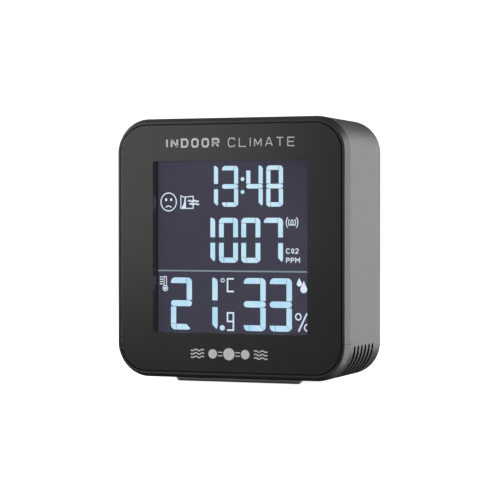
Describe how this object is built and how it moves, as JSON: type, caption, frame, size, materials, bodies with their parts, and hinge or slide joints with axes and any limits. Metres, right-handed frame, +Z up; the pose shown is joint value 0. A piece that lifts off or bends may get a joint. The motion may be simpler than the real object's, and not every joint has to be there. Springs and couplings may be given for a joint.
{
  "type": "carbon dioxide monitor",
  "caption": "Flat upright desktop air monitor: bevelled case with a set-back display window, corner vents, low foot and rear controls.",
  "frame": {"origin": "bottom centre of the bounding box, midway between the two rubber foot bars", "axes": "+Z up, +Y toward the rear, the display faces -Y, +X to the viewer's right"},
  "size_m": [0.08, 0.035, 0.0847],
  "materials": {
    "case_plastic": "fine satin texture",
    "panel_plastic": "satin",
    "lens": "clear polished",
    "foot": "satin",
    "pad_rubber": "matt",
    "steel": "zinc plated",
    "mesh": "woven mesh",
    "display_glass": "polished",
    "polarizer": "smooth film",
    "white_plastic": "moulded",
    "film": "smooth film",
    "led": "clear resin",
    "elastomer": "silicone",
    "board_green": "solder mask",
    "chip_black": "moulded epoxy",
    "resistor": "sintered",
    "can": "drawn",
    "sensor_gold": "plated",
    "membrane": "porous film",
    "header_black": "moulded",
    "battery_wrap": "pouch foil",
    "tape": "foam",
    "lead": "insulation",
    "connector": "moulded",
    "buzzer": "moulded",
    "switch_metal": "stamped",
    "button_plastic": "satin",
    "lever": "moulded",
    "usb_steel": "plated",
    "tongue": "moulded"
  },
  "bodies": {
    "case": {"backlight_diffuser": "film", "backlight_guide": "film", "backlight_leds": "led", "backlight_reflector": "film", "battery_cell": "battery_wrap", "battery_header": "connector", "battery_leads": "lead", "battery_plug": "connector", "battery_tape": "tape", "board_link_header": "header_black", "board_link_socket": "header_black", "buzzer": "buzzer", "capacitors": "can", "climate_sensor_board": "board_green", "climate_sensor_chip": "chip_black", "climate_sensor_header": "header_black", "contact_strip": "elastomer", "display_board": "board_green", "display_board_screws": "steel", "display_driver": "chip_black", "display_holder": "white_plastic", "down_switch_body": "switch_metal", "dust_screens": "mesh", "foot_bars": "pad_rubber", "foot_plate": "foot", "foot_screws": "steel", "front_frame": "case_plastic", "front_panel": "panel_plastic", "gas_sensor_board": "board_green", "gas_sensor_body": "sensor_gold", "gas_sensor_filter": "membrane", "gas_sensor_header": "header_black", "housing_screws": "steel", "lcd_front_glass": "display_glass", "lcd_front_polarizer": "polarizer", "lcd_rear_glass": "display_glass", "lcd_rear_polarizer": "polarizer", "main_board": "board_green", "main_board_screws": "steel", "menu_switch_body": "switch_metal", "microcontroller": "chip_black", "rear_housing": "case_plastic", "resistors": "resistor", "set_switch_body": "switch_metal", "slide_switch": "switch_metal", "up_switch_body": "switch_metal", "usb_socket": "usb_steel", "usb_tongue": "tongue", "window_lens": "lens"},
    "menu_press": {"menu_button": "button_plastic", "menu_plunger": "lever"},
    "up_press": {"up_button": "button_plastic", "up_plunger": "lever"},
    "down_press": {"down_button": "button_plastic", "down_plunger": "lever"},
    "set_press": {"set_button": "button_plastic", "set_plunger": "lever"},
    "slider": {"power_slider": "button_plastic", "slide_lever": "lever"}
  },
  "joints": [
    {"name": "menu_button_press", "type": "slide", "parent": "case", "child": "menu_press", "axis": [0, -1, 0], "range_m": [0, 0.0004], "stiffness_N_per_m": 400, "springref_m": -0.0004},
    {"name": "up_button_press", "type": "slide", "parent": "case", "child": "up_press", "axis": [0, -1, 0], "range_m": [0, 0.0004], "stiffness_N_per_m": 400, "springref_m": -0.0004},
    {"name": "down_button_press", "type": "slide", "parent": "case", "child": "down_press", "axis": [0, -1, 0], "range_m": [0, 0.0004], "stiffness_N_per_m": 400, "springref_m": -0.0004},
    {"name": "set_button_press", "type": "slide", "parent": "case", "child": "set_press", "axis": [0, -1, 0], "range_m": [0, 0.0004], "stiffness_N_per_m": 400, "springref_m": -0.0004},
    {"name": "power_slide", "type": "slide", "parent": "case", "child": "slider", "axis": [1, 0, 0], "range_m": [-0.001, 0.001]}
  ]
}
